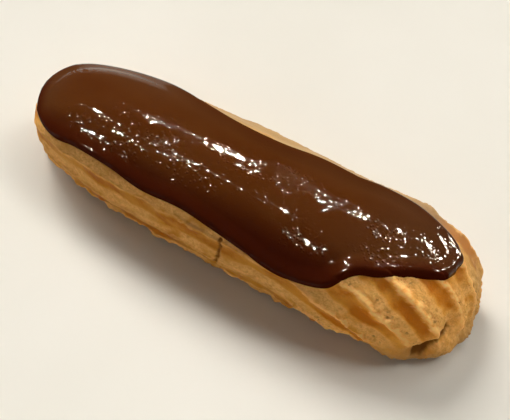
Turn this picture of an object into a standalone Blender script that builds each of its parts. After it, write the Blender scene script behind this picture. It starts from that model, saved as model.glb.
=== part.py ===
"""A chocolate eclair: a baked choux shell, piped as a ridged finger, with a thick coat of chocolate icing on top.

Metres, +Z up. +X runs along the finger to its bare, fanned end, and -Y is the side where the icing hangs lowest.
The origin is under the middle of the finger, on the surface that it lies on.
A place on the choux is given by two numbers: along, from -1 at the iced tip to 1 at the bare tip, and turn, the
angle round the finger from straight up, positive towards -Y.
"""

import math

import bmesh
import bpy
import numpy as np
from mathutils import Matrix

# Choux shell
LENGTH = 0.138
WIDTH = 0.0392
HEIGHT = 0.0318
BELLY_LEVEL = 0.40  # height of the widest level, as a share of HEIGHT
TIP_LEVELS = (0.0090, 0.0065)  # heights of the iced tip and of the bare tip above the surface
SETTLING = 0.0007  # how far the round underside is flattened by its own weight
WIDENING = (0.024, 0.065)  # the sides move out by this share at the bare end, and in at the iced end: -Y, +Y
BEND = -0.0011  # sideways bow of the middle
NEAR_BULGE, NEAR_BULGE_AT, NEAR_BULGE_REACH = 0.065, 0.60, 0.35  # extra width on the -Y side
PLAN_BLUNTNESS = (3.1, 3.9)  # superellipse powers seen from above, at the iced end and at the bare end
TOP_BLUNTNESS = (3.2, 2.8)  # the same for the top line seen from the side
BASE_BLUNTNESS = (3.6, 5.5)  # the same for the underside
DOME_POWER, BASE_POWER = 2.3, 3.0  # cross-section above and below the widest level

# Ridges that the star nozzle leaves. At the bare end they lean down and run together under the tip, where the
# nozzle was lifted.
RIDGES = 14
RIDGE_TURN = math.radians(45.5)  # turn of one crest
RIDGE_DEPTH, FAN_DEPTH = 0.0008, 0.0016  # along the finger, and at the bare end
FAN_FROM, FAN_FULL = 0.25, 0.70  # along
RIDGE_FADE = (0.0012, 0.0060)  # heights between which the ridges grow out of the flat base
LEAN = math.radians(21)
LEAN_TURN = math.radians(156)  # turn that they lean towards
LEAN_FROM, LEAN_FULL = math.radians(75), 0  # angles from the bare tip
TIP_ANGLES = (math.radians(35), math.radians(16))  # the ridges shrink to nothing from here to each tip: iced, bare

# The bare end splits above a foot that spreads over the surface. Each runs between two points.
CREASE_START, CREASE_END = (0.0615, -0.0162, 0.0075), (0.0677, -0.0070, 0.0140)
CREASE_DEPTH, CREASE_WIDTH = 0.0022, 0.0028
FOOT_START, FOOT_END = (0.0565, -0.0180, 0.0025), (0.0695, 0.0010, 0.0030)
FOOT_SPREAD, FOOT_WIDTH = 0.0016, 0.0055

# Icing
ICING_DEPTH = 0.0017
ICING_ROUNDING = 0.0028  # width of the rounded rim
GAP = 0.0004  # clearance between the choux and the icing
SMOOTHED = (-0.0005, 0.0030)  # distances in from the rim between which the choux loses its ridges
SUNK, SUNK_REACH = 0.0014, 0.0060  # the choux is this much lower under the icing, from this far in
# The icing's edge, as millimetres along X and degrees of turn, from its tip at the iced end to its other tip.
ICED_TIP, BARE_TIP = (-67.1, 2), (62.3, -12)
NEAR_EDGE = [
    (-64.7, 36), (-60.5, 54), (-53.5, 60), (-45.5, 56), (-33.5, 56), (-21.5, 60), (-9.5, 58), (0.5, 61), (10.5, 65),
    (20.5, 69), (28.5, 67.5), (35.5, 62), (38.3, 52), (41.5, 42.5), (45.5, 38), (50.5, 30),
    (56.5, 18.5), (60.4, 7),
]
FAR_EDGE = [
    (-64.5, -34), (-58.5, -53), (-47.5, -59), (-35.5, -56), (-25.5, -46), (-17.5, -38), (-6.5, -34), (6.5, -34),
    (17.5, -38), (27.5, -39), (35.5, -47), (44.5, -51), (52.5, -48), (58.8, -43), (61.8, -31),
]

# Mesh fineness
SEGMENTS_PER_RIDGE = 6
RINGS = 42
RING_CROWDING = 0.08  # how much closer the rings are at the tips
ICING_ROWS, ICING_COLUMNS = 61, 13
SAMPLES = 600  # used to measure a curve


def taper(along, bluntness):
    """Share of the full size that is left there: 1 in the middle, 0 at both tips."""
    power = np.where(along > 0, bluntness[1], bluntness[0])
    return np.maximum(1 - np.abs(along) ** power, 0) ** (1 / power)


def ease(start, end, value):
    """0 before start, 1 after end, and smooth between them."""
    share = np.clip((value - start) / (end - start), 0, 1)
    return share * share * (3 - 2 * share)


def travelled(points):
    """Distance along a line of points, from its start to each point."""
    return np.concatenate([[0], np.cumsum(np.linalg.norm(np.diff(points, axis=0), axis=1))])


def outline_table():
    """Along, and the angle from the iced tip that grows evenly over the surface from 0 to pi."""
    angle = np.linspace(0, math.pi / 2, SAMPLES)
    sides = []
    for direction, power in zip((-1, 1), PLAN_BLUNTNESS):
        sides.append(np.stack([direction * np.sin(angle) ** (2 / power), np.cos(angle) ** (2 / power)], axis=-1))
    outline = np.concatenate([sides[0][::-1], sides[1][1:]])
    distance = travelled(outline * (LENGTH / 2, WIDTH / 2))
    return outline[:, 0], math.pi * distance / distance[-1]


TABLE_ALONG, TABLE_ANGLE = outline_table()


def leaned(across, share):
    """Turns unit vectors (X, -Y, Z) by the lean of the ridges. share is 1, or -1 to turn them back."""
    toward = np.array([0, math.sin(LEAN_TURN), math.cos(LEAN_TURN)])
    sideways = across @ toward
    lean = np.zeros(len(across))
    for _ in range(1 if share > 0 else 30):
        unleaned_x = across[:, 0] if share > 0 else across[:, 0] * np.cos(lean) + sideways * np.sin(lean)
        lean = LEAN * ease(LEAN_FROM, LEAN_FULL, np.arccos(np.clip(unleaned_x, -1, 1)))
    lean = lean * share
    turned = across + np.outer(across[:, 0] * np.sin(lean) + sideways * (np.cos(lean) - 1), toward)
    turned[:, 0] = across[:, 0] * np.cos(lean) - sideways * np.sin(lean)
    return turned


def to_vector(along, turn):
    angle = np.interp(along, TABLE_ALONG, TABLE_ANGLE)
    return np.stack([-np.cos(angle), np.sin(angle) * np.sin(turn), np.sin(angle) * np.cos(turn)], axis=-1)


def to_place(vector):
    angle = np.arccos(np.clip(-vector[:, 0], -1, 1))
    return np.interp(angle, TABLE_ANGLE, TABLE_ALONG), np.arctan2(vector[:, 1], vector[:, 2])


def plain_skin(along, turn):
    """Points on the choux before the ridges, as an array of X, Y, Z."""
    near_side = 1 + WIDENING[0] * along + NEAR_BULGE * np.exp(-(((along - NEAR_BULGE_AT) / NEAR_BULGE_REACH) ** 2))
    half_width = np.where(np.sin(turn) > 0, near_side, 1 + WIDENING[1] * along)
    half_width = np.maximum(half_width * WIDTH / 2 * taper(along, PLAN_BLUNTNESS), 1e-9)
    tip_level = TIP_LEVELS[0] + (TIP_LEVELS[1] - TIP_LEVELS[0]) * (along + 1) / 2
    level = tip_level + (BELLY_LEVEL * HEIGHT - tip_level) * taper(along, TOP_BLUNTNESS)
    top = tip_level + (HEIGHT - tip_level) * taper(along, TOP_BLUNTNESS)
    base_share = taper(along, BASE_BLUNTNESS)
    bottom = tip_level * (1 - base_share) - SETTLING * base_share
    upward = np.cos(turn) > 0
    reach_z = np.maximum(np.where(upward, top - level, level - bottom), 1e-9)
    power = np.where(upward, DOME_POWER, BASE_POWER)
    radius = ((np.abs(np.sin(turn)) / half_width) ** power + (np.abs(np.cos(turn)) / reach_z) ** power) ** (-1 / power)
    y = BEND * (1 - along**2) - radius * np.sin(turn)
    return np.stack([LENGTH / 2 * along, y, level + radius * np.cos(turn)], axis=-1)


def outward(along, turn):
    """Unit normals of the plain skin, from small steps both ways."""
    step = 1e-4
    inside = np.clip(along, -1 + 2 * step, 1 - 2 * step)
    lengthways = plain_skin(inside + step, turn) - plain_skin(inside - step, turn)
    normal = np.cross(lengthways, plain_skin(inside, turn - step) - plain_skin(inside, turn + step))
    return normal / np.maximum(np.linalg.norm(normal, axis=-1, keepdims=True), 1e-12)


def smooth_edge(corners, count):
    """count evenly spaced places on a smooth curve through corners, as rows of along and turn."""
    corners = np.array(corners, float)
    p = np.concatenate([[2 * corners[0] - corners[1]], corners, [2 * corners[-1] - corners[-2]]])
    t = np.linspace(0, 1, 30, endpoint=False)[:, None]
    pieces = []
    for a, b, c, d in zip(p, p[1:], p[2:], p[3:]):
        pieces.append(b + 0.5 * ((c - a) * t + (2 * a - 5 * b + 4 * c - d) * t**2 + (3 * b - 3 * c + d - a) * t**3))
    curve = np.concatenate([*pieces, corners[-1:]])
    along, turn = curve[:, 0] / (1000 * LENGTH / 2), np.radians(curve[:, 1])
    distance = travelled(plain_skin(along, turn))
    wanted = np.linspace(0, distance[-1], count)
    return np.stack([np.interp(wanted, distance, along), np.interp(wanted, distance, turn)], axis=-1)


def inside_icing(along, turn):
    """Distance in from the icing's edge, negative outside it."""
    near = smooth_edge([ICED_TIP, *NEAR_EDGE, BARE_TIP], SAMPLES)
    far = smooth_edge([ICED_TIP, *FAR_EDGE, BARE_TIP], SAMPLES)
    edge = plain_skin(*np.concatenate([near, far]).T)
    points = plain_skin(along, turn)
    distance = np.array([np.linalg.norm(edge - point, axis=1).min() for point in points])
    within = (turn < np.interp(along, *near.T)) & (turn > np.interp(along, *far.T))
    within &= (along > near[0, 0]) & (along < near[-1, 0])
    return np.where(within, distance, -distance)


def along_line(points, start, end, width):
    """1 on the line from start to end, falling off over width around it."""
    start, end = np.array(start), np.array(end)
    share = np.clip((points - start) @ (end - start) / ((end - start) @ (end - start)), 0, 1)
    distance = np.linalg.norm(points - start - share[:, None] * (end - start), axis=1)
    return np.exp(-((distance / width) ** 2))


def choux_skin(along, turn):
    """Points on the ridged choux. The ridges stop under the icing, and the underside is flat at Z = 0."""
    points = plain_skin(along, turn)
    straight = leaned(to_vector(along, turn), -1)
    ridge_turn = np.arctan2(straight[:, 1], straight[:, 2])
    lobe = np.abs(np.cos(RIDGES / 2 * (ridge_turn - RIDGE_TURN)))
    depth = RIDGE_DEPTH + (FAN_DEPTH - RIDGE_DEPTH) * ease(FAN_FROM, FAN_FULL, along)
    tip_angle = np.where(straight[:, 0] < 0, *TIP_ANGLES)
    depth = depth * np.clip(np.hypot(straight[:, 1], straight[:, 2]) / np.sin(tip_angle), 0, 1)
    inside = inside_icing(along, turn)
    foot = along_line(points, FOOT_START, FOOT_END, FOOT_WIDTH)
    depth = depth * ease(*RIDGE_FADE, points[:, 2]) * (1 - ease(*SMOOTHED, inside)) * (1 - foot)
    lift = depth * (lobe - 0.5) - SUNK * ease(0, SUNK_REACH, inside) + FOOT_SPREAD * foot
    lift = lift - CREASE_DEPTH * along_line(points, CREASE_START, CREASE_END, CREASE_WIDTH)
    points = points + outward(along, turn) * lift[:, None]
    points[:, 2] = np.maximum(points[:, 2], 0)
    return points


def material(name, colour, roughness):
    made = bpy.data.materials.new(name)
    made.use_nodes = True
    shader = made.node_tree.nodes["Principled BSDF"]
    shader.inputs["Base Color"].default_value = (*colour, 1)
    shader.inputs["Roughness"].default_value = roughness
    made.diffuse_color = (*colour, 1)
    return made


def add_object(name, bm, finish):
    bmesh.ops.recalc_face_normals(bm, faces=bm.faces)
    mesh = bpy.data.meshes.new(name)
    bm.to_mesh(mesh)
    bm.free()
    mesh.materials.append(finish)
    mesh.shade_smooth()
    made = bpy.data.objects.new(name, mesh)
    bpy.context.scene.collection.objects.link(made)
    return made


def choux_shell():
    """A globe with its poles at the tips. Its lines of longitude follow the ridges."""
    bm = bmesh.new()
    on_its_side = Matrix.Rotation(math.pi / 2, 4, "Y")
    bmesh.ops.create_uvsphere(
        bm, u_segments=RIDGES * SEGMENTS_PER_RIDGE, v_segments=RINGS, radius=1, matrix=on_its_side
    )
    globe = np.array([vertex.co for vertex in bm.verts])
    ring_share = np.arccos(np.clip(-globe[:, 0], -1, 1)) / math.pi
    angle = math.pi * (ring_share - RING_CROWDING * np.sin(2 * math.pi * ring_share))
    turn = np.arctan2(-globe[:, 1], globe[:, 2]) + RIDGE_TURN
    vector = np.stack([-np.cos(angle), np.sin(angle) * np.sin(turn), np.sin(angle) * np.cos(turn)], axis=-1)
    for vertex, point in zip(bm.verts, choux_skin(*to_place(leaned(vector, 1)))):
        vertex.co = point
    return add_object("choux_shell", bm, material("baked_choux", (0.56, 0.31, 0.10), 0.55))


def chocolate_icing():
    """Two sheets that follow the choux and share one edge. The upper one curves down to it."""
    near = smooth_edge([ICED_TIP, *NEAR_EDGE, BARE_TIP], ICING_ROWS)
    far = smooth_edge([ICED_TIP, *FAR_EDGE, BARE_TIP], ICING_ROWS)
    across = 0.5 - 0.5 * np.cos(np.linspace(0, math.pi, ICING_COLUMNS))[None, :, None]
    along, turn = (near[:, None] + (far - near)[:, None] * across).reshape(-1, 2).T
    inwards = np.clip(inside_icing(along, turn) / ICING_ROUNDING, 0, 1)
    depth = ICING_DEPTH * np.sqrt(1 - (1 - inwards) ** 2)
    normal = outward(along, turn)
    under = choux_skin(along, turn) + normal * GAP
    over = under + normal * depth[:, None]
    bm = bmesh.new()
    sheets = []
    for points in (under, over):
        grid = [[None] * ICING_COLUMNS for _ in range(ICING_ROWS)]
        for index, point in enumerate(points):
            row, column = divmod(index, ICING_COLUMNS)
            at_tip = row in (0, ICING_ROWS - 1)
            if sheets and (at_tip or column in (0, ICING_COLUMNS - 1)):
                grid[row][column] = sheets[0][row][column]
            elif at_tip and column > 0:
                grid[row][column] = grid[row][0]
            else:
                grid[row][column] = bm.verts.new(point)
        sheets.append(grid)
    for grid in sheets:
        for row, following in zip(grid, grid[1:]):
            for i in range(ICING_COLUMNS - 1):
                corners = (row[i], following[i], following[i + 1], row[i + 1])
                bm.faces.new(tuple(dict.fromkeys(corners)))
    return add_object("chocolate_icing", bm, material("chocolate", (0.075, 0.022, 0.008), 0.12))


def stand_over_origin(objects):
    """Moves the eclair so that the origin is under the middle of its box."""
    corners = np.array([vertex.co for made in objects for vertex in made.data.vertices])
    middle = (corners.min(axis=0) + corners.max(axis=0)) / 2
    for made in objects:
        made.data.transform(Matrix.Translation((-middle[0], -middle[1], 0)))


def main():
    for old in list(bpy.data.objects):
        bpy.data.objects.remove(old)
    stand_over_origin([choux_shell(), chocolate_icing()])


if __name__ == "__main__":
    main()
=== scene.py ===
"""Looks of the chocolate eclair: a finely modelled choux finger under a glossy coat of chocolate icing.

Metres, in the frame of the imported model: +X runs along the finger to its bare, fanned end, and -Y is the side where
the icing hangs lowest. The two pieces repeat the form that the solids have, on a finer mesh, and add to it what the
solids leave out: torn and browned crust, pores, two cracks, small lumps, and the wrinkled skin of the icing.
A place on the choux is given by two numbers: along, from -1 at the iced tip to 1 at the bare tip, and turn, the
angle round the finger from straight up, positive towards -Y.
"""

import math

import bmesh
import bpy
import numpy as np
from mathutils import Matrix, Vector, noise


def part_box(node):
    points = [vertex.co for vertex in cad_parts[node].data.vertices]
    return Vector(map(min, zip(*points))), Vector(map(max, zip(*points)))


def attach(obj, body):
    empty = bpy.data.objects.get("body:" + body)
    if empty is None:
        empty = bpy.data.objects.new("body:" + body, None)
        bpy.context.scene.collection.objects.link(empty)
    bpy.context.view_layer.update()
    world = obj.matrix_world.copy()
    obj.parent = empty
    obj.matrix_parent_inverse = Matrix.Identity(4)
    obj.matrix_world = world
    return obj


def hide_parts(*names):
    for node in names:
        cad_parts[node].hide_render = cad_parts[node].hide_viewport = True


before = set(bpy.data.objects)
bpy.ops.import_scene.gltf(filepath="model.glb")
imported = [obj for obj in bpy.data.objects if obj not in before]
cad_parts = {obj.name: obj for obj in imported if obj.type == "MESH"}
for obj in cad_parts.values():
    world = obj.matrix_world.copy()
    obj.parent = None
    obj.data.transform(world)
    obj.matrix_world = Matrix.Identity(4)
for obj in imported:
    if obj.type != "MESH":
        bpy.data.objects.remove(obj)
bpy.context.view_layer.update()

# ---------------------------------------------------------------------------------------------------------------
# Form of the choux, the same as in the solids
# ---------------------------------------------------------------------------------------------------------------
LENGTH = 0.138
WIDTH = 0.0392
HEIGHT = 0.0318
BELLY_LEVEL = 0.40  # height of the widest level, as a share of HEIGHT
TIP_LEVELS = (0.0090, 0.0065)  # heights of the iced tip and of the bare tip above the surface
SETTLING = 0.0007  # how far the round underside is flattened by its own weight
WIDENING = (0.024, 0.065)  # the sides move out by this share at the bare end, and in at the iced end: -Y, +Y
BEND = -0.0011  # sideways bow of the middle
NEAR_BULGE, NEAR_BULGE_AT, NEAR_BULGE_REACH = 0.065, 0.60, 0.35  # extra width on the -Y side
PLAN_BLUNTNESS = (3.1, 3.9)  # superellipse powers seen from above, at the iced end and at the bare end
TOP_BLUNTNESS = (3.2, 2.8)  # the same for the top line seen from the side
BASE_BLUNTNESS = (3.6, 5.5)  # the same for the underside
DOME_POWER, BASE_POWER = 2.3, 3.0  # cross-section above and below the widest level

RIDGES = 14
RIDGE_TURN = math.radians(45.5)  # turn of one crest
RIDGE_DEPTH, FAN_DEPTH = 0.0008, 0.0016  # along the finger, and at the bare end
FAN_FROM, FAN_FULL = 0.25, 0.70  # along
RIDGE_FADE = (0.0012, 0.0060)  # heights between which the ridges grow out of the flat base
LEAN = math.radians(21)
LEAN_TURN = math.radians(156)  # turn that the ridges lean towards at the bare end
LEAN_FROM, LEAN_FULL = math.radians(75), 0  # angles from the bare tip
TIP_ANGLES = (math.radians(35), math.radians(16))  # the ridges shrink to nothing from here to each tip: iced, bare

CREASE_START, CREASE_END = (0.0615, -0.0162, 0.0075), (0.0677, -0.0070, 0.0140)
CREASE_DEPTH, CREASE_WIDTH = 0.0022, 0.0028
FOOT_START, FOOT_END = (0.0565, -0.0180, 0.0025), (0.0695, 0.0010, 0.0030)
FOOT_SPREAD, FOOT_WIDTH, FOOT_SMOOTH = 0.0016, 0.0055, 0.0080

ICING_DEPTH = 0.0017
ICING_ROUNDING = 0.0028  # width of the rounded rim
GAP = 0.0004  # the icing's top is this much higher than its depth says, as the solids have a clearance under it
SMOOTHED = (-0.0005, 0.0030)  # distances in from the rim between which the choux loses its ridges
SUNK, SUNK_REACH = 0.0014, 0.0060  # the choux is this much lower under the icing, from this far in
# The icing's edge, as millimetres along X and degrees of turn, from its tip at the iced end to its other tip.
ICED_TIP, BARE_TIP = (-67.1, 2), (62.3, -12)
NEAR_EDGE = [
    (-64.7, 36), (-60.5, 54), (-53.5, 60), (-45.5, 56), (-33.5, 56), (-21.5, 60), (-9.5, 58), (0.5, 61), (10.5, 65),
    (20.5, 69), (28.5, 67.5), (35.5, 62), (38.3, 52), (41.5, 42.5), (45.5, 38), (50.5, 30), (56.5, 18.5), (60.4, 7),
]
FAR_EDGE = [
    (-64.5, -34), (-58.5, -53), (-47.5, -59), (-35.5, -56), (-25.5, -46), (-17.5, -38), (-6.5, -34), (6.5, -34),
    (17.5, -38), (27.5, -39), (35.5, -47), (44.5, -51), (52.5, -48), (58.8, -43), (61.8, -31),
]
SAMPLES = 600  # used to measure a curve

# ---------------------------------------------------------------------------------------------------------------
# What the looks add
# ---------------------------------------------------------------------------------------------------------------
# Fineness of the meshes
CHOUX_SEGMENTS, CHOUX_RINGS = 308, 312
SIDE_CROWDING = 0.24  # how much closer the lines of longitude are at the sides than on the top and the base
CROWDED_RINGS = (0.97, 0.70)  # shares of the rings between which that starts, from the bare tip
RING_CROWDING = 0.10  # how much closer the rings are at the bare end
ICING_ROWS, ICING_COLUMNS, UNDER_COLUMNS = 430, 200, 9
RIM_CROWDING = 0.4  # how much closer the icing's columns are at its rim
BEDDED = 0.0003  # how far the icing's underside lies in the choux
RIM_POWERS = (2.2, 0.75)  # shape of the icing's rounded rim, from upright at its foot to level on its top

# Cross-section of one ridge, from crest to crest towards -Y: a smooth browned groove, then a torn rise that ends in
# a step up to the next crest.
# The step lies this share of a ridge's width to the -Y side of the solid's crest, along the finger and in the fan.
CREST_OFFSETS, OFFSET_FROM, OFFSET_FULL = (-0.16, 0.12), 0.25, 0.65
RIDGE_PHASES = (0, 0.07, 0.17, 0.28, 0.40, 0.52, 0.64, 0.80, 0.93, 0.97, 1)
RIDGE_HEIGHTS = (1, 0.92, 0.50, 0.14, 0.06, 0.12, 0.26, 0.38, 0.46, 0.90, 1)
TORN_PHASES = (0.50, 0.64, 0.93, 0.97)  # the torn strip grows from the first to the second, and ends likewise
GROOVE_PHASES = (0.05, 0.16, 0.44, 0.60)  # the same for the browned groove
LIP_PHASES = (0.91, 0.96, 1.02, 1.11)  # the same for the pale lip over the step, which also carries a painted highlight
PITTED_PHASES = (0.55, 0.80)  # the torn strip's pits grow from the first to the second
SIDE_SHARE = 0.45  # strength of these marks along the finger, as a share of their strength in the fan
# At these distances from where the ridges meet, on a globe of radius 1, they wind and have marks in full.
WINDING_FULL, MARKS_FULL = 0.5, 0.25

# Where the crust changes. Something grows from 0 to 1 between the two values of a pair.
UNCOVERED = (0, 0.0015)  # distances in from the icing's edge between which the crust's fine relief ends
CLEAR_OF_FLOOR, RAGGED_FOOT = (0.001, 0.004), (0.011, 0.004)  # heights
TORN_TIP = (0.90, 0.97)  # along
# Painted light: the crust is painted lighter on the fan's top and bare tip and on the near side, standing in for
# light that the lamps do not give there.
BRIGHT_HEIGHTS, BRIGHT_TIP = (0.001, 0.006), (0.75, 0.90)  # heights, and along
BRIGHT_TOP, BRIGHT_SIDE = (-40, 0), (30, 50)  # degrees of turn
BRIGHT_CRUST, BRIGHT_TORN = 0.05, 0.45  # painted light on the side's crust, and how much more where it is torn
# Greyer, darker crust in a band on the far side, which is painted shade there, and greyer crust at the bare tip.
GREYED_ALONG, GREYED_TURNS = (-0.60, -0.20, 0.65, 0.85), (-115, -65, -45, -25)  # limits of a band
GREYED_TIP, GREYED_AT_TIP = (0.65, 0.85), 0.4  # along, and how much of the greyer crust the bare end still has
# How browned the plain crust is and how unevenly, and the grooves: everywhere, and on top of that in the fan.
BROWN_CRUST, BROWN_UNEVEN = 0.30, 0.2
BROWN_GROOVE, BROWN_FAN_GROOVE = 0.55, 0.45

# Noise in the form of the choux: the size of its bumps in metres, its octaves, and a shift that sets it apart.
RIDGE_WINDING, RIDGE_WAVERING = (0.011, 2, 3.1), (0.0028, 2, 6.1)
RIDGE_SWELLING = (0.009, 1, 7.7)
TORN_PATCHES, TIP_PATCHES, BROWN_PATCHES = (0.006, 2, 1.9), (0.0030, 2, 17), (0.010, 3, 14)
LIP_NOTCHES, LIP_ROUGHNESS = (0.0024, 3, 9.2), (0.0022, 3, 6.6)
CRUMB, SWELLS, SKIN, FOOT_RAGS = (0.0014, 3, 5.3), (0.008, 2, 11.0), (0.0011, 2, 8.5), (0.0036, 3, 4.4)
CRACK_WANDERING = [(0.0025, 2, 21), (0.0025, 2, 22), (0.0025, 2, 23)]  # for X, Y and Z
LENGTHWAYS = (0.45, 1, 1)  # draws noise out along the finger
FINER_FADE, FINER_STEP = 0.8, 2.0  # how much weaker and how many times finer each octave of noise is
# What the noise does: how far it moves the ridges and their lips, in shares of a ridge's width, and changes their
# depth, and how torn the strips and the bare tip are, on average and by how much it varies.
WINDING, WAVERING, NOTCHES, DEPTH_CHANGE = 0.07, 0.025, 0.07, 0.25
TORN_LEVEL, TORN_CHANGE = 0.85, 0.7
TIP_TORN_LEVEL, TIP_TORN_CHANGE = 0.75, 0.5
TIP_GROOVE_LOSS = 0.7  # share of the grooves that the torn tip hides
# How high the relief stands, in metres
CRUMB_RELIEF, LIP_RELIEF, SWELL_RELIEF, SKIN_RELIEF, FOOT_RAG_RELIEF = 0.00026, 0.00016, 0.00035, 0.00010, 0.00050
# Pits: their depth and the size of their cells in metres, a shift, and the shares of a cell from edge to middle.
PIT_RELIEF, PIT_SIZE, PIT_SHIFT, PIT_EDGE = 0.00018, 0.0017, 2.2, (0.45, 0.05)

# Cracks: depth, width and wandering in metres, darkness of the shade painted in them, and millimetres along X and
# degrees of turn.
CRACKS = [
    (0.0017, 0.0012, 0.0004, 1, [(61.6, 109), (63, 103), (64.3, 96), (65.4, 86), (66.3, 76), (67.3, 69), (68.1, 64)]),
    (0.0006, 0.0007, 0.0002, 0.7, [(4.2, 66), (4.3, 76), (4.2, 83), (3.6, 90), (3.0, 99), (2.9, 105)]),
]
CRACK_ROUGHNESS = 0.3  # how much the crumb changes their depth
# Lumps of the crust at the bare end: millimetres along X and degrees of turn, then height and reach in millimetres.
LUMPS = [((47, -62), 1.0, 4.0), ((58, -61), 0.9, 5.0), ((65.5, -71), 0.7, 4.0), ((68.9, 145), 1.2, 2.5)]

WRINKLE_HEIGHT = 0.00035
# Wrinkles of the icing's skin: ridges between two places, in millimetres along X and degrees of turn, with their
# height as a share of WRINKLE_HEIGHT and half their width in millimetres.
WRINKLES = [
    ((-52.4, 24), (-45.8, 24), 0.06, 0.40),
    ((-44.0, 27), (-41.7, 26), 0.16, 0.55),
    ((-50.8, 42), (-48.4, 40.5), 0.12, 0.45),
    ((-48.4, 40.5), (-42.1, 40), 0.14, 0.45),
    ((-39.8, 40), (-36.8, 42), 0.12, 0.45),
    ((-34.8, 39), (-32.7, 39), 0.14, 0.50),
    ((-29.0, 7), (-25.7, 9), 0.18, 0.70),
    ((-23.5, 22), (-19.0, 23), 0.13, 0.45),
    ((-19.0, 22), (-9.6, 22), 0.16, 0.55),
    ((-22.4, 16), (-20.7, 16), 0.16, 0.55),
    ((-13.7, 30), (-9.6, 28), 0.12, 0.45),
    ((-9.6, 28), (-7.8, 21), 0.12, 0.45),
    ((-7.3, 22), (1.1, 22), 0.10, 0.45),
    ((-16.1, 38), (-10.8, 34), 0.08, 0.45),
    ((-9.6, 3), (-7.3, 4), 0.16, 0.60),
    ((-0.7, 7), (2.3, 9), 0.18, 0.65),
    ((9.4, 24), (12.4, 24), 0.14, 0.50),
    ((15.9, 21), (17.1, 26), 0.10, 0.40),
    ((20.5, 3), (26.2, 3), 0.18, 0.70),
    ((22.8, 24), (27.3, 26), 0.14, 0.50),
    ((28.9, 21), (30.3, 29), 0.14, 0.50),
    ((52.2, -15), (53.0, -10), 0.14, 0.50),
]
# Areas with small bubbles and dimples: the middle in millimetres along X and degrees of turn, the reach each way,
# and how many. The last is the whole top, with a few.
BUBBLED = [
    ((-45.5, 30), (8, 9), 90),
    ((-32.5, 32), (8, 10), 170),
    ((-37.5, 10), (4, 3), 12),
    ((-23.5, 16), (8, 8), 80),
    ((-11.5, 30), (8, 9), 80),
    ((-1.5, 8), (7, 5), 40),
    ((10.5, 6), (7, 3), 35),
    ((20.5, 3), (7, 4), 50),
    ((30.0, 37), (1.8, 5), 45),
    ((25.5, 38), (5, 7), 50),
    ((41.5, 0), (5, 9), 40),
    ((44.5, 22), (7, 8), 36),
    ((56.5, 0), (4, 7), 50),
    ((15.5, -11), (7, 3), 16),
    ((-9.5, 5), (52, 34), 110),
]
BUBBLE_SCATTER, AREA_FALL = 0.55, 0.8  # spread of the bubbles in an area's reach, and how fast the area fades out
BUBBLE_SIZES, BUBBLE_HEIGHTS = (0.00030, 0.00050), (0.00001, 0.00004)
DIMPLED = 0.4  # share of the bubbles that are dimples

# Noise in the form of the icing, as for the choux, with how it is drawn out along the finger
ICING_SWELLS, ICING_SWELLS_DRAWN = (0.009, 1, 31), (0.5, 1, 1)
ICING_FINE, ICING_FINE_DRAWN = (0.0014, 1, 32), (0.8, 1, 1)
BEADING, BEADING_LEVEL, BEADING_CHANGE = (0.0011, 1, 33), 0.75, 0.5
ICING_SWELL_RELIEF, ICING_FINE_RELIEF, LEAST_FINE = 0.00007, 0.000016, 0.25
RELIEF_FROM = (0.0006, 0.0030)  # distances in from the rim between which the relief grows

# Where the icing changes, in pairs as for the crust: distances in from the rim, along, or degrees of turn.
ICING_LOOKS = ("painted_shade", "dotted", "shine", "even", "painted_sheen")
# Painted shade: the icing is painted darker on its near side, turned away from the lamps, and at its rim, less so on
# the far side.
SHADE_TURNS, SHADE_RIM, FAR_RIM_SHARE = (26, 52), (0.0060, 0.0012), 0.4
DOTTED_FROM, LEAST_DOTTED = (0.0004, 0.0015), 0.12
SHINE = 0.18  # the greatest specular level
SHINE_NEAR_RIM, SHINE_FAR_RIM = (0.0010, 0.0030), (-0.0005, 0.0012)
SHELTERED_ALONG, SHELTERED_TURNS, SHELTERED_LOSS = (-0.35, -0.60), (-15, -40), 0.6
DULL_ALONG, DULL_TURNS = (-0.50, -0.35, 0.45, 0.60), (-7, -13)  # the first gives the limits of a band
EVEN_ALONG, EVEN_TURNS = (0.80, 0.88), (-25, -36)
# Painted sheen: the icing is painted greyer on its far side and at both ends, where glancing light shows on it.
SHEEN_BARE, SHEEN_ICED, SHEEN_TURNS = (0.3, 0.8), (-0.75, -0.95), (-5, -40)

# Colours of the choux
PALE_GOLD, GOLD, BROWN = (0.72, 0.37, 0.095), (0.61, 0.265, 0.035), (0.44, 0.130, 0.006)
CRUMB_DARK, CRUMB_PALE, LIP_PALE_AND_HIGHLIGHT = (0.57, 0.28, 0.072), (0.75, 0.42, 0.135), (0.88, 0.48, 0.165)
# The pits' and cracks' colours are painted shade in those hollows.
SPECKLE_BROWN, PIT_SHADE, CRACK_SHADE = (0.45, 0.20, 0.045), (0.50, 0.23, 0.055), (0.23, 0.085, 0.010)
FOOT_GREY, GREYED_COLOUR = (0.47, 0.28, 0.115), (0.42, 0.285, 0.14)
PAINTED_LIGHT_GAIN = (1.45, 1.43, 1.36)  # where light is painted on the crust, its colour is multiplied by this
# Its noise: the size of its patches in metres, its detail and its roughness
CRUST_PATCHES, CRUST_GRAIN, CRUST_SPECKLE = (0.006, 4, 0.6), (0.0012, 3, 0.7), (0.0005, 2, 0.6)
PORE_SIZE = 0.0011
# What grows smoothly over the first two values, from 0 to 1 or between the other two
PATCHES_BAKED, BAKED_GOLD, BAKED_BROWN = (0.35, 0.65, -0.15, 0.15), (0.0, 0.5), (0.45, 1.0)
GRAIN_PALE, SPECKLE_SHOWS = (0.35, 0.65), (0.40, 0.75, 0.0, 0.22)
PIT_SHADE_SHOWS, CRACK_SHOWS, PORE_SHOWS = (0.1, 0.8), (0.12, 0.70), (0.1, 0.45)
BAKED_ROUGHNESS = (0.2, 1.0, 0.62, 0.42)
TORN_SHOWS, FOOT_SHOWS, GREYED_SHOWS = 0.85, 0.7, 0.85  # shares
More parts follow.
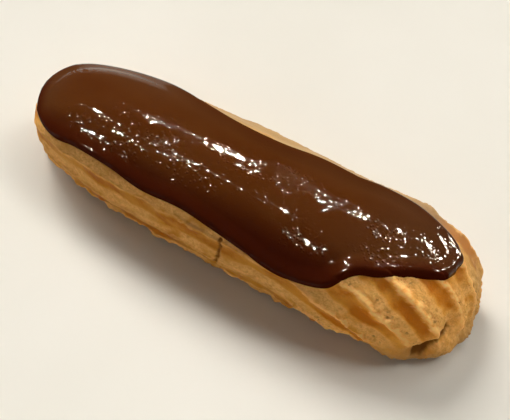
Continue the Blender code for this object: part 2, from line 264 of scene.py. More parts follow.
# Relief that only bends the light: shares of the grain and the speckle, and heights in metres
GRAIN_SHARE, SPECKLE_SHARE, GRAIN_HEIGHT, PORE_HEIGHT = 0.7, 0.4, 0.00025, 0.00012

# Colours of the icing
CHOCOLATE_DARK, CHOCOLATE_LIGHT = (0.074, 0.0185, 0.0030), (0.089, 0.0255, 0.0050)
# The greyer colour is a painted sheen, and the darker red one a painted shade.
CHOCOLATE_SHEEN, CHOCOLATE_SHADE = (0.084, 0.032, 0.0110), (0.050, 0.0070, 0.0015)
# Its noise, and the relief that only bends the light, as for the choux
CHOCOLATE_CLOUDS, CHOCOLATE_SKIN = (0.016, 2, 0.5, (0.6, 1, 1)), (0.0009, 1, 0.5)
GLINT_SPOTS, GLINT_DASHES = (0.0006, 0, 0.5), (0.0009, 0, 0.5, (0.35, 1, 1))
CLOUDS_SHOW, SPOTS_SHOW, DASHES_SHOW = (0.3, 0.7), (0.54, 0.58), (0.58, 0.61)
SHEEN_SHOWS = 0.7
DOT_SIZE, DOT_RADIUS, DOT_HEIGHT, SKIN_HEIGHT = 0.0010, 0.0005, 0.0003, 0.000022

# Colours of the floor, with a painted shade that darkens it far away, and its noise
FLOOR_DARK, FLOOR_LIGHT, FLOOR_FALLOFF_SHADE = (0.75, 0.73, 0.665), (0.78, 0.76, 0.70), (0.12, 0.11, 0.10)
FLOOR_CLOUDS = (0.09, 3, 0.5)

# ---------------------------------------------------------------------------------------------------------------
# Floor, lamps and camera
# ---------------------------------------------------------------------------------------------------------------
FLOOR_REACH = 1.5
FLOOR_DARKENS = (0.20, 1.1)  # distances from the origin over which the floor's painted shade grows
# Lamps far away: azimuth, elevation, strength, size across in degrees. The sparkling ones are seen in the icing and
# light nothing, and the soft ones light and shade and are not seen.
SPARKLING_LAMPS = [
    (-144, 55, 2.2, 1.3),
    (-131, 50, 1.8, 1.2),
    (-165, 59, 2.1, 1.2),
    (-99, 47, 2.4, 1.5),
    (-72, 53, 2.4, 1.5),
    (-55, 36, 2.4, 1.5),
    (-86, 67, 2.9, 1.5),
    (-92, 78, 2.1, 1.2),
    (-14, 63, 3.2, 1.3),
    (178, 58, 2.1, 1.2),
    (160, 52, 2.1, 1.2),
    (150, 39, 2.8, 1.2),
    (150, 39, 2.6, 8),
]
SOFT_LAMPS = [
    (-129, 44, 2.20, 22),
    (-110, 22, 1.35, 28),
    (180, 60, 0.50, 24),
    (130, 55, 0.90, 16),
    (-15, 35, 0.20, 30),
]
SPARKLE_COLOUR, LAMP_COLOUR = (1.0, 0.87, 0.70), (1.0, 0.97, 0.92)
ROOM_COLOUR, ROOM_STRENGTH = (1.0, 0.93, 0.84, 1), 0.105
CAMERA_TARGET = Vector((0.0040, -0.00205, 0.014))
CAMERA_AZIMUTH, CAMERA_ELEVATION, CAMERA_DISTANCE = 30.9, 57, 0.285
CAMERA_LENS, CAMERA_SENSOR = 72.75, 36  # millimetres
CAMERA_SEES = (0.01, 10)  # nearest and farthest


# ---------------------------------------------------------------------------------------------------------------
# The form's own functions, the same as in the solids
# ---------------------------------------------------------------------------------------------------------------
def taper(along, bluntness):
    """Share of the full size that is left there: 1 in the middle, 0 at both tips."""
    power = np.where(along > 0, bluntness[1], bluntness[0])
    return np.maximum(1 - np.abs(along) ** power, 0) ** (1 / power)


def ease(start, end, value):
    """0 before start, 1 after end, and smooth between them."""
    share = np.clip((value - start) / (end - start), 0, 1)
    return share * share * (3 - 2 * share)


def ease_turn(start, end, turn):
    """The same for a turn, with start and end in degrees."""
    return ease(math.radians(start), math.radians(end), turn)


def travelled(points):
    """Distance along a line of points, from its start to each point."""
    return np.concatenate([[0], np.cumsum(np.linalg.norm(np.diff(points, axis=0), axis=1))])


def outline_table():
    """Along, and the angle from the iced tip that grows evenly over the surface from 0 to pi."""
    angle = np.linspace(0, math.pi / 2, SAMPLES)
    sides = []
    for direction, power in zip((-1, 1), PLAN_BLUNTNESS):
        sides.append(np.stack([direction * np.sin(angle) ** (2 / power), np.cos(angle) ** (2 / power)], axis=-1))
    outline = np.concatenate([sides[0][::-1], sides[1][1:]])
    distance = travelled(outline * (LENGTH / 2, WIDTH / 2))
    return outline[:, 0], math.pi * distance / distance[-1]


TABLE_ALONG, TABLE_ANGLE = outline_table()


def leaned(across, share):
    """Turns unit vectors (X, -Y, Z) by the lean of the ridges. share is 1, or -1 to turn them back."""
    toward = np.array([0, math.sin(LEAN_TURN), math.cos(LEAN_TURN)])
    sideways = across @ toward
    lean = np.zeros(len(across))
    for _ in range(1 if share > 0 else 30):
        unleaned_x = across[:, 0] if share > 0 else across[:, 0] * np.cos(lean) + sideways * np.sin(lean)
        lean = LEAN * ease(LEAN_FROM, LEAN_FULL, np.arccos(np.clip(unleaned_x, -1, 1)))
    lean = lean * share
    turned = across + np.outer(across[:, 0] * np.sin(lean) + sideways * (np.cos(lean) - 1), toward)
    turned[:, 0] = across[:, 0] * np.cos(lean) - sideways * np.sin(lean)
    return turned


def to_vector(along, turn):
    angle = np.interp(along, TABLE_ALONG, TABLE_ANGLE)
    return np.stack([-np.cos(angle), np.sin(angle) * np.sin(turn), np.sin(angle) * np.cos(turn)], axis=-1)


def to_place(vector):
    angle = np.arccos(np.clip(-vector[:, 0], -1, 1))
    return np.interp(angle, TABLE_ANGLE, TABLE_ALONG), np.arctan2(vector[:, 1], vector[:, 2])


def plain_skin(along, turn):
    """Points on the choux before the ridges, as an array of X, Y, Z."""
    near_side = 1 + WIDENING[0] * along + NEAR_BULGE * np.exp(-(((along - NEAR_BULGE_AT) / NEAR_BULGE_REACH) ** 2))
    half_width = np.where(np.sin(turn) > 0, near_side, 1 + WIDENING[1] * along)
    half_width = np.maximum(half_width * WIDTH / 2 * taper(along, PLAN_BLUNTNESS), 1e-9)
    tip_level = TIP_LEVELS[0] + (TIP_LEVELS[1] - TIP_LEVELS[0]) * (along + 1) / 2
    level = tip_level + (BELLY_LEVEL * HEIGHT - tip_level) * taper(along, TOP_BLUNTNESS)
    top = tip_level + (HEIGHT - tip_level) * taper(along, TOP_BLUNTNESS)
    base_share = taper(along, BASE_BLUNTNESS)
    bottom = tip_level * (1 - base_share) - SETTLING * base_share
    upward = np.cos(turn) > 0
    reach_z = np.maximum(np.where(upward, top - level, level - bottom), 1e-9)
    power = np.where(upward, DOME_POWER, BASE_POWER)
    sideways = (np.abs(np.sin(turn)) / half_width) ** power
    radius = (sideways + (np.abs(np.cos(turn)) / reach_z) ** power) ** (-1 / power)
    y = BEND * (1 - along**2) - radius * np.sin(turn)
    return np.stack([LENGTH / 2 * along, y, level + radius * np.cos(turn)], axis=-1)


def outward(along, turn):
    """Unit normals of the plain skin, from small steps both ways."""
    step = 1e-4
    inside = np.clip(along, -1 + 2 * step, 1 - 2 * step)
    lengthways = plain_skin(inside + step, turn) - plain_skin(inside - step, turn)
    normal = np.cross(lengthways, plain_skin(inside, turn - step) - plain_skin(inside, turn + step))
    return normal / np.maximum(np.linalg.norm(normal, axis=-1, keepdims=True), 1e-12)


def smooth_curve(corners, steps=30):
    """A smooth curve through the corners, as rows of along and turn."""
    corners = np.array(corners, float)
    p = np.concatenate([[2 * corners[0] - corners[1]], corners, [2 * corners[-1] - corners[-2]]])
    t = np.linspace(0, 1, steps, endpoint=False)[:, None]
    pieces = []
    for a, b, c, d in zip(p, p[1:], p[2:], p[3:]):
        pieces.append(b + 0.5 * ((c - a) * t + (2 * a - 5 * b + 4 * c - d) * t**2 + (3 * b - 3 * c + d - a) * t**3))
    curve = np.concatenate([*pieces, corners[-1:]])
    return place(curve)


def place(corners):
    """Along and turn of places given in millimetres along X and degrees of turn."""
    corners = np.array(corners, float)
    return np.stack([corners[..., 0] / (1000 * LENGTH / 2), np.radians(corners[..., 1])], axis=-1)


def smooth_edge(corners, count):
    """count evenly spaced places on a smooth curve through corners, as rows of along and turn."""
    along, turn = smooth_curve(corners).T
    distance = travelled(plain_skin(along, turn))
    wanted = np.linspace(0, distance[-1], count)
    return np.stack([np.interp(wanted, distance, along), np.interp(wanted, distance, turn)], axis=-1)


def nearest(points, targets, batch=4000):
    """Distance from each point to the nearest of the targets."""
    found = np.empty(len(points))
    own = (targets**2).sum(axis=1)
    for start in range(0, len(points), batch):
        some = points[start : start + batch]
        squares = (some**2).sum(axis=1)[:, None] + own - 2 * some @ targets.T
        found[start : start + batch] = np.sqrt(np.maximum(squares.min(axis=1), 0))
    return found


def inside_icing(along, turn):
    """Distance in from the icing's edge, negative outside it."""
    near = smooth_edge([ICED_TIP, *NEAR_EDGE, BARE_TIP], SAMPLES)
    far = smooth_edge([ICED_TIP, *FAR_EDGE, BARE_TIP], SAMPLES)
    distance = nearest(plain_skin(along, turn), plain_skin(*np.concatenate([near, far]).T))
    within = (turn < np.interp(along, *near.T)) & (turn > np.interp(along, *far.T))
    within &= (along > near[0, 0]) & (along < near[-1, 0])
    return np.where(within, distance, -distance)


def along_line(points, start, end, width):
    """1 on the line from start to end, falling off over width around it."""
    start, end = np.array(start), np.array(end)
    share = np.clip((points - start) @ (end - start) / ((end - start) @ (end - start)), 0, 1)
    distance = np.linalg.norm(points - start - share[:, None] * (end - start), axis=1)
    return np.exp(-((distance / width) ** 2))


# ---------------------------------------------------------------------------------------------------------------
# Relief
# ---------------------------------------------------------------------------------------------------------------
def bumps(points, kind):
    """Smooth noise, mostly between -1 and 1. kind is the size of its bumps, its octaves and its shift."""
    size, octaves, shift = kind
    scaled = points / size + shift
    return 2 * np.array([noise.fractal(Vector(p), FINER_FADE, FINER_STEP, octaves) for p in scaled])


def pits(points):
    """1 in the middle of scattered round cells, 0 between them."""
    distance = np.array([noise.voronoi(Vector(p))[0][0] for p in points / PIT_SIZE + PIT_SHIFT])
    return ease(*PIT_EDGE, distance)


def band(limits, phase):
    """1 between the two middle limits, easing to 0 at the outer ones."""
    return ease(limits[0], limits[1], phase) * (1 - ease(limits[2], limits[3], phase))


def ridge_frame(along, turn):
    """How far each place is from where the ridges meet, its phase from crest to crest, and the ridges' depth."""
    straight = leaned(to_vector(along, turn), -1)
    ridge_turn = np.arctan2(straight[:, 1], straight[:, 2])
    offset = CREST_OFFSETS[0] + (CREST_OFFSETS[1] - CREST_OFFSETS[0]) * ease(OFFSET_FROM, OFFSET_FULL, along)
    phase = RIDGES * (ridge_turn - RIDGE_TURN) / (2 * math.pi) - offset
    from_pole = np.hypot(straight[:, 1], straight[:, 2])
    tip_angle = np.where(straight[:, 0] < 0, *TIP_ANGLES)
    depth = RIDGE_DEPTH + (FAN_DEPTH - RIDGE_DEPTH) * ease(FAN_FROM, FAN_FULL, along)
    return from_pole, phase, depth * np.clip(from_pole / np.sin(tip_angle), 0, 1)


def ridge_marks(points, along, phase, marked, fanned):
    """The torn strips, browned grooves and pale lips of the ridges, each from 0 to 1."""
    torn = band(TORN_PHASES, phase % 1) * marked * (TORN_LEVEL + TORN_CHANGE * bumps(points, TORN_PATCHES))
    tip = ease(*TORN_TIP, along) * ease(*CLEAR_OF_FLOOR, points[:, 2])
    tip = tip * (TIP_TORN_LEVEL + TIP_TORN_CHANGE * bumps(points, TIP_PATCHES))
    torn = np.clip(np.maximum(np.clip(torn, 0, 1), tip), 0, 1)
    groove = band(GROOVE_PHASES, phase % 1) * marked * (1 - TIP_GROOVE_LOSS * np.clip(tip, 0, 1))
    ragged = phase % 1 + NOTCHES * bumps(points, LIP_NOTCHES)
    lip = np.maximum(band(LIP_PHASES, ragged), band(LIP_PHASES, ragged + 1)) * marked * fanned
    return torn, groove, lip


def cracked(points, normal, rough):
    """How deep the cracks are at each place, and how dark the shade painted in them is."""
    wander = np.stack([bumps(points, kind) for kind in CRACK_WANDERING], axis=-1)
    wander -= (wander * normal).sum(axis=1, keepdims=True) * normal
    depths, painted_crack_shade = np.zeros(len(points)), np.zeros(len(points))
    for depth, width, wandering, darkness, route in CRACKS:
        distance = nearest(points + wandering * wander, plain_skin(*smooth_curve(route).T))
        share = np.exp(-((distance / width) ** 2)) * (1 + CRACK_ROUGHNESS * rough)
        depths += depth * share
        painted_crack_shade = np.maximum(painted_crack_shade, darkness * share)
    return depths, painted_crack_shade


def lumps(points):
    """How far the lumps at the bare end stand out."""
    lift = np.zeros(len(points))
    for spot, height, reach in LUMPS:
        distance = np.linalg.norm(points - plain_skin(*place([spot]).T), axis=1)
        lift += 0.001 * height * np.exp(-((distance / (0.001 * reach)) ** 2))
    return lift


def choux_form(along, turn):
    """Everything about the choux at each place: its points, and how browned, torn and cracked its crust is."""
    points = plain_skin(along, turn)
    height = points[:, 2]
    normal = outward(along, turn)
    from_pole, phase, depth = ridge_frame(along, turn)
    inside = inside_icing(along, turn)
    foot = along_line(points, FOOT_START, FOOT_END, FOOT_WIDTH)
    lengthways = points * LENGTHWAYS
    bare = 1 - ease(*UNCOVERED, inside)
    upper = ease(*CLEAR_OF_FLOOR, height)

    away = np.clip(from_pole / WINDING_FULL, 0, 1)
    phase = phase + away * (WINDING * bumps(points, RIDGE_WINDING) + WAVERING * bumps(points, RIDGE_WAVERING))
    lobe = np.interp(phase % 1, RIDGE_PHASES, RIDGE_HEIGHTS)
    depth = depth * (1 + DEPTH_CHANGE * bumps(points, RIDGE_SWELLING))
    smooth = 1 - np.clip(1.5 * along_line(points, FOOT_START, FOOT_END, FOOT_SMOOTH), 0, 1)
    ridged = ease(*RIDGE_FADE, height) * (1 - ease(*SMOOTHED, inside)) * smooth
    lift = depth * ridged * (lobe - 0.5) - SUNK * ease(0, SUNK_REACH, inside) + FOOT_SPREAD * foot
    lift -= CREASE_DEPTH * along_line(points, CREASE_START, CREASE_END, CREASE_WIDTH)

    in_fan = ease(FAN_FROM, FAN_FULL, along)
    fanned = SIDE_SHARE + (1 - SIDE_SHARE) * in_fan
    marked = smooth * upper * np.clip(from_pole / MARKS_FULL, 0, 1)
    torn, groove, lip = ridge_marks(points, along, phase, marked, fanned)
    plain = np.clip(1 - torn - groove, 0, 1)

    rough = bumps(points, CRUMB)
    pitted = pits(points) * ease(*PITTED_PHASES, phase % 1)
    lift += bare * SWELL_RELIEF * bumps(lengthways, SWELLS)
    lift += bare * fanned * torn * (CRUMB_RELIEF * rough - PIT_RELIEF * pitted)
    lift += bare * fanned * lip * LIP_RELIEF * bumps(points, LIP_ROUGHNESS)
    lift += bare * plain * upper * SKIN_RELIEF * bumps(points, SKIN)
    lift += bare * ease(*RAGGED_FOOT, height) * upper * FOOT_RAG_RELIEF * bumps(points, FOOT_RAGS)
    lift += lumps(points)
    crack_depths, painted_crack_shade = cracked(points, normal, rough)
    lift -= crack_depths

    points = points + normal * lift[:, None]
    points[:, 2] = np.maximum(points[:, 2], 0)
    browned = BROWN_CRUST * plain + (BROWN_GROOVE + BROWN_FAN_GROOVE * fanned) * groove
    browned += BROWN_UNEVEN * bumps(lengthways, BROWN_PATCHES)
    # Painted light on the fan's top and bare tip and on the near side, more where the crust is torn.
    top_or_tip = np.maximum(ease_turn(*BRIGHT_TOP, turn), ease(*BRIGHT_TIP, along))
    painted_light_fan = in_fan * ease(*BRIGHT_HEIGHTS, points[:, 2]) * top_or_tip
    painted_light_side = (BRIGHT_CRUST + BRIGHT_TORN * torn) * ease_turn(*BRIGHT_SIDE, turn)
    # Painted shade on the far side's crust, and greyer crust at the bare tip.
    greyed_and_shaded = band(GREYED_ALONG, along) + GREYED_AT_TIP * ease(*GREYED_TIP, along)
    return points, {
        "browned": np.clip(browned, 0, 1),
        "torn": torn,
        "lip": lip,
        "pitted": np.clip(pitted * torn * fanned, 0, 1),
        "cracked": np.clip(painted_crack_shade, 0, 1),
        "painted_light": np.maximum(painted_light_fan, painted_light_side),
        "foot": np.clip(foot, 0, 1),
        "greyed_and_shaded": greyed_and_shaded * band(np.radians(GREYED_TURNS), turn),
    }


def bubbled(along, turn):
    """1 in the middle of an area with small bubbles, fading out around it."""
    share = np.zeros(len(along))
    for middle, reach, _ in BUBBLED[:-1]:
        off = (np.stack([along * 1000 * LENGTH / 2, np.degrees(turn)], axis=-1) - middle) / reach
        share = np.maximum(share, np.exp(-AREA_FALL * (off**2).sum(axis=1)))
    return share


def icing_bed(along, turn, inside):
    """Points on the choux under the icing, without its fine relief."""
    _, phase, depth = ridge_frame(along, turn)
    lobe = np.interp(phase % 1, RIDGE_PHASES, RIDGE_HEIGHTS)
    points = plain_skin(along, turn)
    foot = along_line(points, FOOT_START, FOOT_END, FOOT_WIDTH)
    depth = depth * (1 - ease(*SMOOTHED, inside)) * (1 - foot)
    lift = depth * (lobe - 0.5) - SUNK * ease(0, SUNK_REACH, inside)
    return points + outward(along, turn) * lift[:, None]


def icing_top(spots):
    """Points on the icing's plain top, from millimetres along X and degrees of turn."""
    along, turn = place(spots).T
    return plain_skin(along, turn) + outward(along, turn) * (ICING_DEPTH - SUNK)


def icing_relief(points, inside, zones):
    """How far the icing's skin stands above its plain form."""
    lift = ICING_SWELL_RELIEF * bumps(points * ICING_SWELLS_DRAWN, ICING_SWELLS)
    lift += ICING_FINE_RELIEF * (LEAST_FINE + zones) * bumps(points * ICING_FINE_DRAWN, ICING_FINE)
    beading = BEADING_LEVEL + BEADING_CHANGE * bumps(points, BEADING)
    for start, end, height, width in WRINKLES:
        lift += WRINKLE_HEIGHT * height * beading * along_line(points, *icing_top([start, end]), 0.001 * width)
    rng = np.random.default_rng(7)
    for middle, reach, count in BUBBLED:
        spots = np.array(middle) + rng.normal(0, BUBBLE_SCATTER, (count, 2)) * reach
        sizes = rng.uniform(*BUBBLE_SIZES, count)
        heights = rng.uniform(*BUBBLE_HEIGHTS, count) * rng.choice([-1, 1], count, p=[DIMPLED, 1 - DIMPLED])
        for centre, size, height in zip(icing_top(spots), sizes, heights):
            near = np.abs(points[:, 0] - centre[0]) < 3 * size
            distance = np.linalg.norm(points[near] - centre, axis=1)
            lift[near] += height * np.exp(-((distance / size) ** 2))
    return lift * ease(*RELIEF_FROM, inside)


def icing_looks(along, turn, inside):
    """How much painted shade, dots, shine, even shine and painted sheen the icing has at each place, as columns."""
    near_side = turn > 0
    at_rim = ease(*SHADE_RIM, inside) * np.where(near_side, 1, FAR_RIM_SHARE)
    # Painted shade on the near side and at the rim.
    painted_shade = np.maximum(ease_turn(*SHADE_TURNS, turn), at_rim)
    dotted = np.maximum(bubbled(along, turn), LEAST_DOTTED) * ease(*DOTTED_FROM, inside)
    sheltered = ease(*SHELTERED_ALONG, along) * ease_turn(*SHELTERED_TURNS, turn)
    dull = band(DULL_ALONG, along) * ease_turn(*DULL_TURNS, turn)
    rim = np.where(near_side, ease(*SHINE_NEAR_RIM, inside), ease(*SHINE_FAR_RIM, inside))
    shine = SHINE * rim * (1 - SHELTERED_LOSS * sheltered) * (1 - dull)
    even = np.maximum(ease_turn(*EVEN_TURNS, turn), ease(*EVEN_ALONG, along))
    # Painted sheen on the far side and at both ends.
    at_ends = np.maximum(ease(*SHEEN_BARE, along), ease(*SHEEN_ICED, along))
    painted_sheen = np.maximum(ease_turn(*SHEEN_TURNS, turn), at_ends)
    return np.stack([painted_shade, dotted, shine, even, painted_sheen], axis=-1)


# ---------------------------------------------------------------------------------------------------------------
# Pieces
# ---------------------------------------------------------------------------------------------------------------
def add_piece(name, bm, attributes):
    """Makes an object from bm, with one value of each attribute at each vertex."""
    bmesh.ops.recalc_face_normals(bm, faces=bm.faces)
    mesh = bpy.data.meshes.new(name)
    bm.to_mesh(mesh)
    bm.free()
    for key, values in attributes.items():
        mesh.attributes.new(key, "FLOAT", "POINT").data.foreach_set("value", np.ascontiguousarray(values, np.float32))
    mesh.shade_smooth()
    made = bpy.data.objects.new(name, mesh)
    bpy.context.scene.collection.objects.link(made)
    return made


def choux():
    """A globe with its poles at the tips, and the shift that brings its middle to the solid's."""
    bm = bmesh.new()
    on_its_side = Matrix.Rotation(math.pi / 2, 4, "Y")
    bmesh.ops.create_uvsphere(bm, u_segments=CHOUX_SEGMENTS, v_segments=CHOUX_RINGS, radius=1, matrix=on_its_side)
    globe = np.array([vertex.co for vertex in bm.verts])
    ring_share = np.arccos(np.clip(-globe[:, 0], -1, 1)) / math.pi
    angle = math.pi * (ring_share + RING_CROWDING * np.sin(math.pi * ring_share) ** 2)
    turn = np.arctan2(-globe[:, 1], globe[:, 2])
    turn = turn + SIDE_CROWDING * np.sin(2 * turn) * ease(*CROWDED_RINGS, ring_share)
    vector = np.stack([-np.cos(angle), np.sin(angle) * np.sin(turn), np.sin(angle) * np.cos(turn)], axis=-1)
    points, attributes = choux_form(*to_place(leaned(vector, 1)))
    low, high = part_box("choux_shell")
    middle = (np.array(low) + np.array(high)) / 2
    shift = middle - (points.min(axis=0) + points.max(axis=0)) / 2
    shift[2] = 0
    for vertex, point in zip(bm.verts, points + shift):
        vertex.co = point
    return add_piece("choux", bm, attributes), shift


def icing_sheet(near, far, columns, is_top):
    """Points of one of the icing's sheets, row by row from its near edge to its far edge, and their looks."""
    share = np.linspace(0, 1, columns)
    across = (1 - RIM_CROWDING) * share + RIM_CROWDING * (0.5 - 0.5 * np.cos(math.pi * share))
    along, turn = (near[:, None] + (far - near)[:, None] * across[None, :, None]).reshape(-1, 2).T
    inside = inside_icing(along, turn)
    normal = outward(along, turn)
    points = icing_bed(along, turn, inside) - normal * BEDDED
    if is_top:
        upright, level = RIM_POWERS
        inwards = np.clip(inside / ICING_ROUNDING, 0, 1)
        rise = (ICING_DEPTH + GAP + BEDDED) * (1 - (1 - inwards) ** upright) ** level
        points = points + normal * rise[:, None]
        points = points + normal * icing_relief(points, inside, bubbled(along, turn))[:, None]
    return points, icing_looks(along, turn, inside)


def icing(shift):
    """Two sheets that share one edge. The lower one lies on the choux, and the upper one curves down to it."""
    near = smooth_edge([ICED_TIP, *NEAR_EDGE, BARE_TIP], ICING_ROWS)
    far = smooth_edge([ICED_TIP, *FAR_EDGE, BARE_TIP], ICING_ROWS)
    bm = bmesh.new()
    borders = {}
    looks = []
    for columns, is_top in ((UNDER_COLUMNS, False), (ICING_COLUMNS, True)):
        points, looked = icing_sheet(near, far, columns, is_top)
        grid = [[None] * columns for _ in range(ICING_ROWS)]
        for index, point in enumerate(points + shift):
            row, column = divmod(index, columns)
            at_tip = row in (0, ICING_ROWS - 1)
            side = 0 if at_tip else {0: -1, columns - 1: 1}.get(column)
            if side is not None and (row, side) in borders:
                grid[row][column] = borders[row, side]
                continue
            grid[row][column] = bm.verts.new(point)
            looks.append(looked[index])
            if side is not None:
                borders[row, side] = grid[row][column]
        for row, following in zip(grid, grid[1:]):
            for i in range(columns - 1):
                corners = (row[i], following[i], following[i + 1], row[i + 1])
                bm.faces.new(tuple(dict.fromkeys(corners)))
    return add_piece("icing", bm, dict(zip(ICING_LOOKS, np.array(looks).T)))


# ---------------------------------------------------------------------------------------------------------------
# Materials
# ---------------------------------------------------------------------------------------------------------------
class Nodes:
    """Adds and joins the nodes of one material."""

    def __init__(self, name):
        self.material = bpy.data.materials.new(name)
        self.material.use_nodes = True
        self.tree = self.material.node_tree
        self.shader = self.tree.nodes["Principled BSDF"]
        coordinates = self.tree.nodes.new("ShaderNodeTexCoord")
        self.place = coordinates.outputs["Object"]

    def link(self, source, socket):
        """Joins an output to the socket, or sets the socket to a number or a colour."""
        if isinstance(source, (int, float)):
            socket.default_value = source
        elif isinstance(source, (tuple, list)):
            socket.default_value = (*source, 1) if len(source) == 3 and len(socket.default_value) == 4 else source
        else:
            self.tree.links.new(source, socket)

    def noise(self, size, detail, roughness, stretch=(1, 1, 1)):
        """Noise from 0 to 1 whose patches are size metres across."""
        scaling = self.tree.nodes.new("ShaderNodeMapping")
        scaling.inputs["Scale"].default_value = stretch
        self.link(self.place, scaling.inputs["Vector"])
        node = self.tree.nodes.new("ShaderNodeTexNoise")
        node.inputs["Scale"].default_value = 1 / size
        node.inputs["Detail"].default_value = detail
        node.inputs["Roughness"].default_value = roughness
        self.link(scaling.outputs["Vector"], node.inputs["Vector"])
        return node.outputs["Fac"]

    def cells(self, size):
        """Scattered cells size metres across: the distance from the middle of each, and its own value."""
        node = self.tree.nodes.new("ShaderNodeTexVoronoi")
        node.inputs["Scale"].default_value = 1 / size
        self.link(self.place, node.inputs["Vector"])
        return node.outputs["Distance"], node.outputs["Color"]

    def dots(self, size, radius):
        """Round bumps of different heights, from 0 to 1, in cells size metres across."""
        distance, height = self.cells(size)
        return self.math("MULTIPLY", self.remap(distance, 0.0, radius / size, 1.0, 0.0), height)

    def far(self, start, end):
        """0 nearer than start to the origin, 1 farther than end."""
        node = self.tree.nodes.new("ShaderNodeVectorMath")
        node.operation = "LENGTH"
        self.link(self.place, node.inputs[0])
        return self.remap(node.outputs["Value"], start, end)

    def attribute(self, name):
        node = self.tree.nodes.new("ShaderNodeAttribute")
        node.attribute_name = name
        return node.outputs["Fac"]

    def math(self, operation, a, b=0.0, clamp=False):
        node = self.tree.nodes.new("ShaderNodeMath")
        node.operation = operation
        node.use_clamp = clamp
        self.link(a, node.inputs[0])
        self.link(b, node.inputs[1])
        return node.outputs[0]

    def remap(self, value, low, high, to_low=0.0, to_high=1.0):
        """Smoothly from to_low at low to to_high at high."""
        node = self.tree.nodes.new("ShaderNodeMapRange")
        node.interpolation_type = "SMOOTHSTEP"
        for socket, number in zip(("From Min", "From Max", "To Min", "To Max"), (low, high, to_low, to_high)):
            node.inputs[socket].default_value = number
        self.link(value, node.inputs["Value"])
        return node.outputs["Result"]

    def mix(self, share, a, b, blend="MIX"):
        """The colour a, with share of the colour b in its place."""
        node = self.tree.nodes.new("ShaderNodeMix")
        node.data_type = "RGBA"
        node.blend_type = blend
        self.link(share, node.inputs[0])
        self.link(a, node.inputs[6])
        self.link(b, node.inputs[7])
        return node.outputs[2]

    def bump(self, height, distance, before=None):
        """Normals for a relief that is distance metres high, on top of the normals before."""
        node = self.tree.nodes.new("ShaderNodeBump")
        node.inputs["Distance"].default_value = distance
        self.link(height, node.inputs["Height"])
        if before is not None:
            self.link(before, node.inputs["Normal"])
        return node.outputs["Normal"]


def choux_material():
    nodes = Nodes("baked_choux")
    shader = nodes.shader.inputs
    torn = nodes.attribute("torn")
    patches = nodes.noise(*CRUST_PATCHES)
    grain = nodes.noise(*CRUST_GRAIN)
    speckle = nodes.noise(*CRUST_SPECKLE)
    baked = nodes.math("ADD", nodes.attribute("browned"), nodes.remap(patches, *PATCHES_BAKED), clamp=True)
    golden = nodes.mix(nodes.remap(baked, *BAKED_GOLD), PALE_GOLD, GOLD)
    golden = nodes.mix(nodes.remap(baked, *BAKED_BROWN), golden, BROWN)
    crumb = nodes.mix(nodes.remap(grain, *GRAIN_PALE), CRUMB_DARK, CRUMB_PALE)
    colour = nodes.mix(nodes.math("MULTIPLY", torn, TORN_SHOWS), golden, crumb)
    # The lip: pale crust with a painted highlight on it.
    colour = nodes.mix(nodes.attribute("lip"), colour, LIP_PALE_AND_HIGHLIGHT)
    # Painted light: lighter crust on the fan and the near side.
    colour = nodes.mix(nodes.attribute("painted_light"), colour, nodes.mix(1.0, colour, PAINTED_LIGHT_GAIN, "MULTIPLY"))
    colour = nodes.mix(nodes.remap(speckle, *SPECKLE_SHOWS), colour, SPECKLE_BROWN)
    # Painted shade in the pits of the torn strips.
    colour = nodes.mix(nodes.remap(nodes.attribute("pitted"), *PIT_SHADE_SHOWS), colour, PIT_SHADE)
    colour = nodes.mix(nodes.math("MULTIPLY", nodes.attribute("foot"), FOOT_SHOWS), colour, FOOT_GREY)
    # Painted shade on the far side's crust, and greyer crust at the bare tip.
    colour = nodes.mix(nodes.math("MULTIPLY", nodes.attribute("greyed_and_shaded"), GREYED_SHOWS), colour, GREYED_COLOUR)
    # Painted shade in the cracks.
    colour = nodes.mix(nodes.remap(nodes.attribute("cracked"), *CRACK_SHOWS), colour, CRACK_SHADE)
    nodes.link(colour, shader["Base Color"])
    nodes.link(nodes.remap(baked, *BAKED_ROUGHNESS), shader["Roughness"])
    shader["Specular IOR Level"].default_value = 0.04
    shader["Subsurface Weight"].default_value = 0.12
    shader["Subsurface Radius"].default_value = (1.0, 0.45, 0.15)
    shader["Subsurface Scale"].default_value = 0.002
    grain, speckle = nodes.math("MULTIPLY", grain, GRAIN_SHARE), nodes.math("MULTIPLY", speckle, SPECKLE_SHARE)
    normal = nodes.bump(nodes.math("ADD", grain, speckle), GRAIN_HEIGHT)
    from_pore, _ = nodes.cells(PORE_SIZE)
    between_pores = nodes.math("MULTIPLY", nodes.remap(from_pore, *PORE_SHOWS), torn)
    nodes.link(nodes.bump(between_pores, PORE_HEIGHT, normal), shader["Normal"])
    return nodes.material


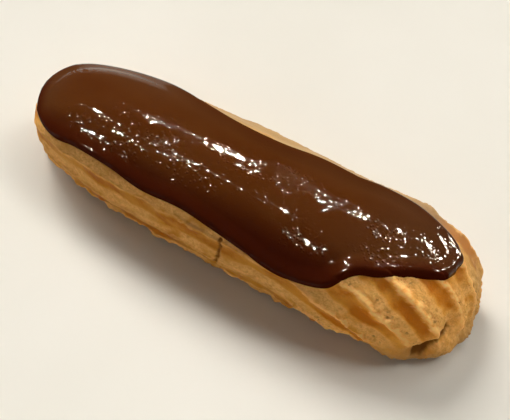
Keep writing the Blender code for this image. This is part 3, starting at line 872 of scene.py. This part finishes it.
def icing_material():
    nodes = Nodes("chocolate")
    shader = nodes.shader.inputs
    clouds = nodes.noise(*CHOCOLATE_CLOUDS)
    colour = nodes.mix(nodes.remap(clouds, *CLOUDS_SHOW), CHOCOLATE_DARK, CHOCOLATE_LIGHT)
    # Painted sheen: greyer on the far side and at both ends.
    colour = nodes.mix(nodes.math("MULTIPLY", nodes.attribute("painted_sheen"), SHEEN_SHOWS), colour, CHOCOLATE_SHEEN)
    # Painted shade on the near side and at the rim.
    colour = nodes.mix(nodes.attribute("painted_shade"), colour, CHOCOLATE_SHADE)
    nodes.link(colour, shader["Base Color"])
    shader["Roughness"].default_value = 0.04
    shader["IOR"].default_value = 1.46
    dots = nodes.math("MULTIPLY", nodes.dots(DOT_SIZE, DOT_RADIUS), nodes.attribute("dotted"))
    skin = nodes.bump(nodes.noise(*CHOCOLATE_SKIN), SKIN_HEIGHT)
    nodes.link(nodes.bump(dots, DOT_HEIGHT, skin), shader["Normal"])
    spots = nodes.remap(nodes.noise(*GLINT_SPOTS), *SPOTS_SHOW)
    dashes = nodes.remap(nodes.noise(*GLINT_DASHES), *DASHES_SHOW)
    glints = nodes.math("MAXIMUM", nodes.math("MAXIMUM", spots, dashes), nodes.attribute("even"))
    nodes.link(nodes.math("MULTIPLY", glints, nodes.attribute("shine")), shader["Specular IOR Level"])
    return nodes.material


def floor_material():
    nodes = Nodes("pale_floor")
    shader = nodes.shader.inputs
    clouds = nodes.noise(*FLOOR_CLOUDS)
    colour = nodes.mix(nodes.remap(clouds, *CLOUDS_SHOW), FLOOR_DARK, FLOOR_LIGHT)
    # Painted shade: the floor darkens away from the eclair.
    nodes.link(nodes.mix(nodes.far(*FLOOR_DARKENS), colour, FLOOR_FALLOFF_SHADE), shader["Base Color"])
    shader["Roughness"].default_value = 0.6
    shader["Specular IOR Level"].default_value = 0
    return nodes.material


# ---------------------------------------------------------------------------------------------------------------
# Stage
# ---------------------------------------------------------------------------------------------------------------
def add_floor():
    mesh = bpy.data.meshes.new("floor")
    corners = [(x * FLOOR_REACH, y * FLOOR_REACH, 0) for x, y in ((-1, -1), (1, -1), (1, 1), (-1, 1))]
    mesh.from_pydata(corners, [], [(0, 1, 2, 3)])
    floor = bpy.data.objects.new("floor", mesh)
    floor.data.materials.append(floor_material())
    bpy.context.scene.collection.objects.link(floor)


def direction(azimuth, elevation):
    """Unit vector towards a place seen from the eclair. Azimuth 0 is towards -Y and 90 towards +X."""
    a, e = math.radians(azimuth), math.radians(elevation)
    return Vector((math.sin(a) * math.cos(e), -math.cos(a) * math.cos(e), math.sin(e)))


def add_lamps():
    for index, (azimuth, elevation, strength, size) in enumerate(SPARKLING_LAMPS + SOFT_LAMPS):
        data = bpy.data.lights.new(f"lamp_{index}", "SUN")
        data.energy = strength
        data.angle = math.radians(size)
        data.color = SPARKLE_COLOUR if index < len(SPARKLING_LAMPS) else LAMP_COLOUR
        lamp = bpy.data.objects.new(f"lamp_{index}", data)
        lamp.visible_glossy = index < len(SPARKLING_LAMPS)
        lamp.visible_diffuse = not lamp.visible_glossy
        lamp.rotation_mode = "QUATERNION"
        lamp.rotation_quaternion = direction(azimuth, elevation).to_track_quat("Z", "Y")
        bpy.context.scene.collection.objects.link(lamp)


def add_room_light():
    world = bpy.data.worlds.new("room")
    bpy.context.scene.world = world
    world.use_nodes = True
    background = world.node_tree.nodes["Background"]
    background.inputs["Color"].default_value = ROOM_COLOUR
    background.inputs["Strength"].default_value = ROOM_STRENGTH


def add_camera():
    data = bpy.data.cameras.new("camera")
    data.lens, data.sensor_width = CAMERA_LENS, CAMERA_SENSOR
    data.clip_start, data.clip_end = CAMERA_SEES
    camera = bpy.data.objects.new("camera", data)
    towards = direction(CAMERA_AZIMUTH, CAMERA_ELEVATION)
    camera.location = CAMERA_TARGET + towards * CAMERA_DISTANCE
    camera.rotation_mode = "QUATERNION"
    camera.rotation_quaternion = towards.to_track_quat("Z", "Y")
    bpy.context.scene.collection.objects.link(camera)
    bpy.context.scene.camera = camera


choux_piece, choux_shift = choux()
choux_piece.data.materials.append(choux_material())
icing_piece = icing(choux_shift)
icing_piece.data.materials.append(icing_material())
for piece, node, slot in ((choux_piece, "choux_shell", "baked_choux"), (icing_piece, "chocolate_icing", "chocolate")):
    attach(piece, "root")
    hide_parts(node)

add_floor()
add_lamps()
add_room_light()
add_camera()
bpy.context.scene.view_settings.view_transform = "Standard"
